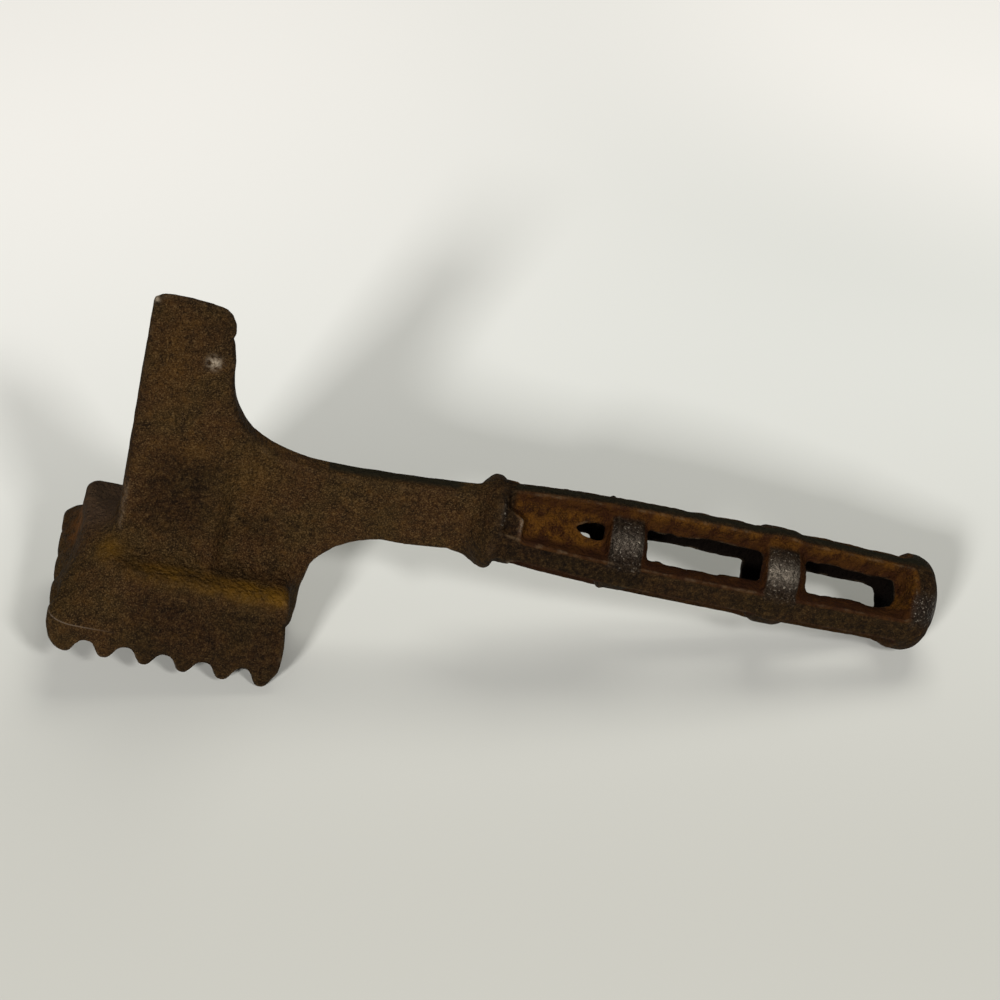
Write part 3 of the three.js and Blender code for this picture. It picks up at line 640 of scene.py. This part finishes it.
# Relief of the casting: slow unevenness and sand grain, rust pits, scale in the pockets
SKIN_LAYERS = [(0.08, 11, 1), (0.07, 4.2, 2), (0.05, 1.7, 3)]
SCALE_LAYERS = [(0.16, 3.0, 5), (0.10, 1.2, 6)]
RUBBED_LAYERS = [(0.045, 0.9, 7)]
RUST_PITS, RUST_PIT_DEPTH, DEEP_PIT, CROWN_RELIEF = (1, 2.3, 4), 0.10, 0.5, 0.6
relief = layered(points, SKIN_LAYERS)
relief -= RUST_PIT_DEPTH * step(layered(points, [RUST_PITS]), 0.35, 0.8)
relief += recess * layered(points, SCALE_LAYERS)
relief += rubbed_and_highlit * layered(points, RUBBED_LAYERS)
relief -= DEEP_PIT * pit
relief *= blend(1, CROWN_RELIEF, ramp(z=(38, 46)))
points = points + normals * relief[:, None]
normals = normals_of(points, quads)

placed = (points @ turn.T + COLLAR) * MM
placed_normals = normals @ turn.T
masks = {"recess": recess, "core_shade": core_shade, "rubbed_and_highlit": rubbed_and_highlit, "ledge": ledge,
         "flash": flash, "flash_fade": flash_fade, "painted_top_shade": painted_top_shade, "convex": convex,
         "handled_and_shade": handled_and_shade, "pocket_shade_and_pit": pocket_shade_and_pit, "knocks_and_glints": knocks_and_glints, "orange": orange, "far_ledge": far_ledge,
         "gold": gold, "sheen": sheen}


# Colours and finishes

def linear(hex_colour):
    """sRGB hex to the linear RGBA that the nodes take."""
    parts = [int(hex_colour[k:k + 2], 16) / 255 for k in (1, 3, 5)]
    return [c / 12.92 if c <= 0.04045 else ((c + 0.055) / 1.055) ** 2.4 for c in parts] + [1.0]


def node(tree, kind, settings=None, **links):
    """Adds a node, sets what settings names and links or fills its inputs. A link is named
    after its input, with _ for a space, or i and its number."""
    made = tree.nodes.new(kind)
    for name, value in (settings or {}).items():
        setattr(made, name, value)
    for key, value in links.items():
        which = int(key[1:]) if key[1:].isdigit() else key.replace("_", " ")
        socket = made.inputs[which]
        if isinstance(value, bpy.types.NodeSocket):
            tree.links.new(value, socket)
        else:
            socket.default_value = value
    return made


SMOOTH = {"interpolation_type": "SMOOTHSTEP"}
COLOUR_MIX = {"data_type": "RGBA"}

# Noises of the rust: size in mm, detail, roughness. The sand grain, about 0.2 mm on the
# real one, is drawn at 0.38 mm so that it shows.
RUST_NOISES = {"patch": (12, 3, 0.6), "stain": (5, 3, 0.6), "scale": (3.4, 3, 0.6),
               "mottle": (3, 3, 0.6), "pitting": (1.3, 2, 0.5), "speckle": (1.2, 3, 0.65),
               "sparkle": (0.6, 2, 0.6), "fine": (0.38, 3, 0.75)}

# Coats over the bare rust, first to last: the noise, the range of it over which the coat
# comes in, the coat's share at both ends of that range, the mask it keeps to, its colour
BARE_RUST = "#2d200d"
RUST_COATS = [
    ("patch", (0.38, 0.62), (0, 1), None, "#301e0d"),
    ("mottle", (0.2, 0.6), (0.4, 0.5), "gold", "#4a3311"),
    ("mottle", (0.5, 0.3), (0, 0.7), None, "#160c05"),
    ("mottle", (0.52, 0.72), (0, 0.5), None, "#463012"),
    ("speckle", (0.5, 0.3), (0, 0.58), None, "#150c05"),
    ("speckle", (0.52, 0.74), (0, 0.42), None, "#4e3a1f"),
    ("fine", (0.5, 0.3), (0, 1), None, "#0d0701"),
    ("fine", (0.5, 0.7), (0, 0.85), None, "#5a472d"),
    # Darker where hands held it, and painted shade in the groove, the throat, over the bands'
    # tops and along the blade's edges: a black coat, thinner in spots, that leaves the grain
    ("speckle", (0.36, 0.62), (0.94, 0.56), "handled_and_shade", "#070302"),
    # Greyer brown on the far side of the ledge
    ("mottle", (0.2, 0.6), (0.4, 0.55), "far_ledge", "#3a2f28"),
    # Painted shade: nearly black iron on top of the neck and the handle
    ("mottle", (0.2, 0.5), (0.55, 0.95), "painted_top_shade", "#17160e"),
    # Mustard rust where water lay on the ledge, orange at the far corner
    ("stain", (0.28, 0.6), (0.05, 0.7), "ledge", "#66470d"),
    ("mottle", (0.3, 0.6), (0, 0.9), "orange", "#643a0a"),
    # Orange scale in the pockets; painted shade on their sides and rims, black painted shade in
    # the core
    ("patch", (0, 1), (0.95, 0.95), "recess", "#261104"),
    ("scale", (0.36, 0.62), (0, 0.95), "recess", "#482c09"),
    ("stain", (0.5, 0.36), (0, 0.6), "recess", "#1c0d05"),
    ("fine", (0.5, 0.72), (0, 0.7), "recess", "#5c3d12"),
    ("fine", (0.48, 0.3), (0, 0.7), "recess", "#160902"),
    ("patch", (0, 1), (0.75, 0.75), "pocket_shade_and_pit", "#241006"),
    ("patch", (0, 1), (1, 1), "core_shade", "#080402"),
    # Rubbed iron on the bands and the butt, and painted highlights: dark, with painted glints as
    # bright grains and a painted sheen
    ("mottle", (0.2, 0.45), (0.6, 1), "rubbed_and_highlit", "#120c08"),
    ("fine", (0.38, 0.62), (0, 0.9), "rubbed_and_highlit", "#332b25"),
    ("sparkle", (0.58, 0.7), (0, 0.8), "rubbed_and_highlit", "#8c8478"),
    ("fine", (0.3, 0.6), (0.1, 1), "sheen", "#7f766b"),
    # Pale scuffs on edges and knocks, and painted highlights at the pocket's lip and along the
    # post
    ("mottle", (0.45, 0.7), (0.05, 0.45), "convex", "#5a4c3a"),
    ("speckle", (0.35, 0.6), (0, 1), "knocks_and_glints", "#8f8373"),
]
FLASH_COLOUR, FLASH_LINE = "#52463a", (0.2, 0.06)

# Rust is matt, rougher on the high grains, and shows no metal; rubbed iron is smoother and
# shows most of its metal
RUST_ROUGHNESS, RUST_SPECULAR, GRAIN_RANGE = (0.7, 0.9), 0.05, (0.3, 0.7)
RUBBED_ROUGHNESS, RUBBED_METAL = 0.33, 0.65
GRIT_HEIGHT, PIT_HEIGHT, PIT_RANGE, BUMP_STRENGTH = 0.3 * MM, 0.6 * MM, (0.36, 0.6), 0.6


def rusted_iron(name):
    """Sand-cast grey iron under old rust: brown, mottled and matt, orange in the pockets,
    dark where hands held it, a little glossy where the bands and the butt are rubbed, with
    painted shade in hollows, grooves and on tops and painted highlights on the bands and edges."""
    material = bpy.data.materials.new(name)
    material.use_nodes = True
    tree = material.node_tree
    tree.nodes.clear()
    where = node(tree, "ShaderNodeTexCoord").outputs["Object"]
    noises = {}
    for label, (size_mm, detail, rough) in RUST_NOISES.items():
        noises[label] = node(tree, "ShaderNodeTexNoise", None, Vector=where, Detail=detail,
                             Scale=1000 / size_mm, Roughness=rough).outputs["Fac"]
    on = {}
    for label in masks:
        on[label] = node(tree, "ShaderNodeAttribute", {"attribute_name": label}).outputs["Fac"]
    colour = linear(BARE_RUST)
    for noise, (low, high), (start, end), keeps_to, tint in RUST_COATS:
        share = node(tree, "ShaderNodeMapRange", SMOOTH, i0=noises[noise], i1=low, i2=high,
                     i3=start, i4=end).outputs[0]
        if keeps_to:
            share = node(tree, "ShaderNodeMath", {"operation": "MULTIPLY"}, i0=share,
                         i1=on[keeps_to]).outputs[0]
        colour = node(tree, "ShaderNodeMix", COLOUR_MIX, i0=share, i6=colour,
                      i7=linear(tint)).outputs[2]

    # Thin pale line of the mould's flash at the near left corner
    height = node(tree, "ShaderNodeMath", {"operation": "ABSOLUTE"}, i0=on["flash"]).outputs[0]
    line = node(tree, "ShaderNodeMapRange", SMOOTH, i0=height, i1=FLASH_LINE[0],
                i2=FLASH_LINE[1]).outputs[0]
    line = node(tree, "ShaderNodeMath", {"operation": "MULTIPLY"}, i0=line,
                i1=on["flash_fade"]).outputs[0]
    colour = node(tree, "ShaderNodeMix", COLOUR_MIX, i0=line, i6=colour,
                  i7=linear(FLASH_COLOUR)).outputs[2]

    rough = node(tree, "ShaderNodeMapRange", None, i0=noises["fine"], i1=GRAIN_RANGE[0],
                 i2=GRAIN_RANGE[1], i3=RUST_ROUGHNESS[0], i4=RUST_ROUGHNESS[1]).outputs[0]
    rough = node(tree, "ShaderNodeMix", {"data_type": "FLOAT"}, i0=on["rubbed_and_highlit"], i2=rough,
                 i3=RUBBED_ROUGHNESS).outputs[0]
    metal = node(tree, "ShaderNodeMath", {"operation": "MULTIPLY"}, i0=on["rubbed_and_highlit"],
                 i1=RUBBED_METAL).outputs[0]
    grit = node(tree, "ShaderNodeBump", None, Strength=BUMP_STRENGTH, Distance=GRIT_HEIGHT,
                Height=noises["fine"]).outputs[0]
    depth = node(tree, "ShaderNodeMapRange", SMOOTH, i0=noises["pitting"], i1=PIT_RANGE[0],
                 i2=PIT_RANGE[1]).outputs[0]
    pits = node(tree, "ShaderNodeBump", None, Strength=BUMP_STRENGTH, Distance=PIT_HEIGHT,
                Height=depth, Normal=grit).outputs[0]
    shader = node(tree, "ShaderNodeBsdfPrincipled", None, Base_Color=colour, Roughness=rough,
                  Metallic=metal, Specular_IOR_Level=RUST_SPECULAR, Normal=pits)
    node(tree, "ShaderNodeOutputMaterial", None, Surface=shader.outputs[0])
    return material


iron = rusted_iron("rusted_sand_cast_iron")


# Pieces: lengths of the casting, parted on the frame's own seams

POST_CUT_X, NECK_CUT_X, GRIP_CUT_X = -70.5, -9.5, 3
RIM_TUCK = 0.4

RAILS = [f"{bay}_{side}_rail" for bay in ("middle", "rear")
         for side in ("near", "top", "far", "bottom")]
PIECES = [
    ("tooth_face", "brown_iron", ["tooth_plate"]),
    ("head_casting", "brown_iron", ["head_block"]),
    ("hatchet", "dark_iron", ["blade_post", "hatchet_blade"]),
    ("flat_neck", "brown_iron", ["neck_web"]),
    ("bead_collar", "dark_iron", ["collar"]),
    ("openwork_grip", "rust_iron", ["front_bay", "front_ring", "rear_ring"] + RAILS),
    ("domed_butt", "worn_iron", ["butt_cap"]),
]

# The cuts of these pieces turn a corner, where the post, the neck and the block meet
BENT_CUTS = ("hatchet", "flat_neck")
cut_corner = (turn @ (POST_CUT_X, 0, FOOT_Z) + COLLAR) * MM


def part_of(at):
    """Which of PIECES each place of the casting belongs to."""
    x, _, z = at.T
    order = np.where(z < PLATE_TOP_Z, 0, 1)
    above = z > FOOT_Z
    order = np.where(above & (x < POST_CUT_X), 2, np.where(above, 3, order))
    order = np.where(x > NECK_CUT_X, 4, order)
    order = np.where(x > GRIP_CUT_X, 5, order)
    return np.where(x > BUTT_X, 6, order)


def from_cut_corner(vert):
    """How far a vertex is from the corner in the cut, seen from the side."""
    return np.hypot(vert.co.x - cut_corner[0], vert.co.z - cut_corner[2])


def tucked_rim(faces):
    """The faces with their open rim turned inwards, so that its cap stays hidden. A vertex
    of the turned rim is numbered on from the end of the casting's own."""
    edges = np.concatenate([faces[:, [k, (k + 1) % 4]] for k in range(4)])
    _, first, count = np.unique(np.sort(edges, 1), axis=0, return_index=True, return_counts=True)
    rim = edges[first[count == 1]]
    shift = len(placed)
    turned = np.stack([rim[:, 1], rim[:, 0], rim[:, 0] + shift, rim[:, 1] + shift], 1)
    return np.concatenate([faces, turned])


def make_piece(name, faces, stands_for):
    """One named stretch of the casting: closed where it meets the next, shaded through."""
    faces = tucked_rim(faces)
    used, local = np.unique(faces, return_inverse=True)
    origin = used % len(placed)
    inner = (used >= len(placed))[:, None]
    places = placed[origin] - inner * placed_normals[origin] * RIM_TUCK * MM
    mesh = bpy.data.meshes.new(name)
    mesh.from_pydata(places.tolist(), [], local.reshape(faces.shape).tolist())
    for label, values in masks.items():
        layer = mesh.attributes.new(label, "FLOAT", "POINT")
        layer.data.foreach_set("value", values[origin].astype(np.float32))

    bm = bmesh.new()
    bm.from_mesh(mesh)
    rims = [e for e in bm.edges if e.is_boundary]
    if name in BENT_CUTS:
        # An edge across the piece at the corner parts its bent cut into two flat caps
        ends = {v for e in rims for v in e.verts}
        across = [min((v for v in ends if v.co.y * side > 0), key=from_cut_corner)
                  for side in (-1, 1)]
        rims.append(bm.edges.new(across))
        caps = bmesh.ops.edgenet_fill(bm, edges=rims)["faces"]
    else:
        caps = bmesh.ops.holes_fill(bm, edges=rims, sides=0)["faces"]
    bmesh.ops.triangulate(bm, faces=caps)
    bm.to_mesh(mesh)
    bm.free()

    mesh.polygons.foreach_set("use_smooth", [True] * len(mesh.polygons))
    piece = bpy.data.objects.new(name, mesh)
    bpy.context.scene.collection.objects.link(piece)
    mesh.materials.append(iron)
    mesh.normals_split_custom_set_from_vertices(placed_normals[origin].tolist())
    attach(piece, "root")
    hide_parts(*stands_for)


belongs = part_of(points[quads].mean(1))
for order, (piece_name, slot, nodes) in enumerate(PIECES):
    make_piece(piece_name, quads[belongs == order], nodes)


# Floor, light and camera

# Paint of the floor from front to back, darker at the front as painted shade, and two pools of
# painted light in it: middle and reach, metres
FRONT_PAINT, BACK_PAINT, LIGHT_POOL_PAINT = "#c8c9c5", "#e7eae9", "#ffffff"
PAINT_Y = (-0.12, 0.16)
LIGHT_POOLS = [((-0.22, 0.40, 0), 0.42), ((0.26, 0.42, 0), 0.28)]
LIGHT_POOL_CORE = 0.12
PAINT_ROUGHNESS, PAINT_SPECULAR, TABLE_SIZE = 0.7, 0.2, 6

# Lamps: bearing from the front towards the right and elevation in degrees, distance and
# size in metres, watts, colour
LAMPS = {
    "left_window": (-23.5, 26, 2.4, 0.32, 49, "#fffcf7"),
    "right_window": (28, 39, 2.4, 0.34, 25, "#fffcf7"),
    "back_lamp": (158, 60, 2.0, 1.2, 16, "#fdfaf0"),
}
ROOM_COLOUR, ROOM_STRENGTH = "#f6f5ec", 0.06

# Camera of the photo: place in metres, how it is turned in degrees, lens in mm
CAMERA_PLACE = (-0.04013, -0.48218, 0.41009)
CAMERA_HEADING, CAMERA_ELEVATION, CAMERA_ROLL = 4.629, 37.155, 4.024
CAMERA_LENS, CAMERA_SENSOR = 86.4, 36


def painted_board(name):
    """Board painted a pale warm grey, matt with a trace of sheen, with painted light: lighter
    towards the back and in two pools.
    """
    material = bpy.data.materials.new(name)
    material.use_nodes = True
    tree = material.node_tree
    tree.nodes.clear()
    where = node(tree, "ShaderNodeTexCoord").outputs["Object"]
    axes = node(tree, "ShaderNodeSeparateXYZ", None, Vector=where)
    back = node(tree, "ShaderNodeMapRange", SMOOTH, i0=axes.outputs["Y"], i1=PAINT_Y[0],
                i2=PAINT_Y[1]).outputs[0]
    paint = node(tree, "ShaderNodeMix", COLOUR_MIX, i0=back, i6=linear(FRONT_PAINT),
                 i7=linear(BACK_PAINT)).outputs[2]
    for middle, reach in LIGHT_POOLS:
        away = node(tree, "ShaderNodeVectorMath", {"operation": "DISTANCE"}, i0=where,
                    i1=middle).outputs["Value"]
        light_pool = node(tree, "ShaderNodeMapRange", SMOOTH, i0=away, i1=reach,
                    i2=LIGHT_POOL_CORE).outputs[0]
        paint = node(tree, "ShaderNodeMix", COLOUR_MIX, i0=light_pool, i6=paint,
                     i7=linear(LIGHT_POOL_PAINT)).outputs[2]
    shader = node(tree, "ShaderNodeBsdfPrincipled", None, Base_Color=paint,
                  Roughness=PAINT_ROUGHNESS, Specular_IOR_Level=PAINT_SPECULAR)
    node(tree, "ShaderNodeOutputMaterial", None, Surface=shader.outputs[0])
    return material


def lamp(name, bearing, elevation, distance, size, watts, hex_colour):
    """Square lamp aimed at the tool."""
    data = bpy.data.lights.new(name, "AREA")
    data.size = size
    data.energy = watts
    data.color = linear(hex_colour)[:3]
    made = bpy.data.objects.new(name, data)
    level = distance * np.cos(radians(elevation))
    made.location = (level * np.sin(radians(bearing)), -level * np.cos(radians(bearing)),
                     distance * np.sin(radians(elevation)))
    made.rotation_euler = (-made.location).to_track_quat("-Z", "Y").to_euler()
    bpy.context.scene.collection.objects.link(made)


bpy.ops.mesh.primitive_plane_add(size=TABLE_SIZE, location=(0, 0, 0))
floor = bpy.context.object
floor.name = "pale_table"
floor.data.materials.append(painted_board("pale_painted_board"))

for lamp_name, settings in LAMPS.items():
    lamp(lamp_name, *settings)
world = bpy.data.worlds.new("soft_room")
world.use_nodes = True
room = world.node_tree.nodes["Background"]
room.inputs["Color"].default_value = linear(ROOM_COLOUR)
room.inputs["Strength"].default_value = ROOM_STRENGTH
bpy.context.scene.world = world

camera_data = bpy.data.cameras.new("camera")
camera_data.sensor_width = CAMERA_SENSOR
camera_data.lens = CAMERA_LENS
camera_data.clip_start = 0.01
camera = bpy.data.objects.new("camera", camera_data)
camera.matrix_world = (Matrix.Translation(CAMERA_PLACE)
                       @ Matrix.Rotation(-radians(CAMERA_HEADING), 4, "Z")
                       @ Matrix.Rotation(radians(90 - CAMERA_ELEVATION), 4, "X")
                       @ Matrix.Rotation(radians(CAMERA_ROLL), 4, "Z"))
bpy.context.scene.collection.objects.link(camera)
bpy.context.scene.camera = camera
bpy.context.scene.view_settings.view_transform = "Standard"
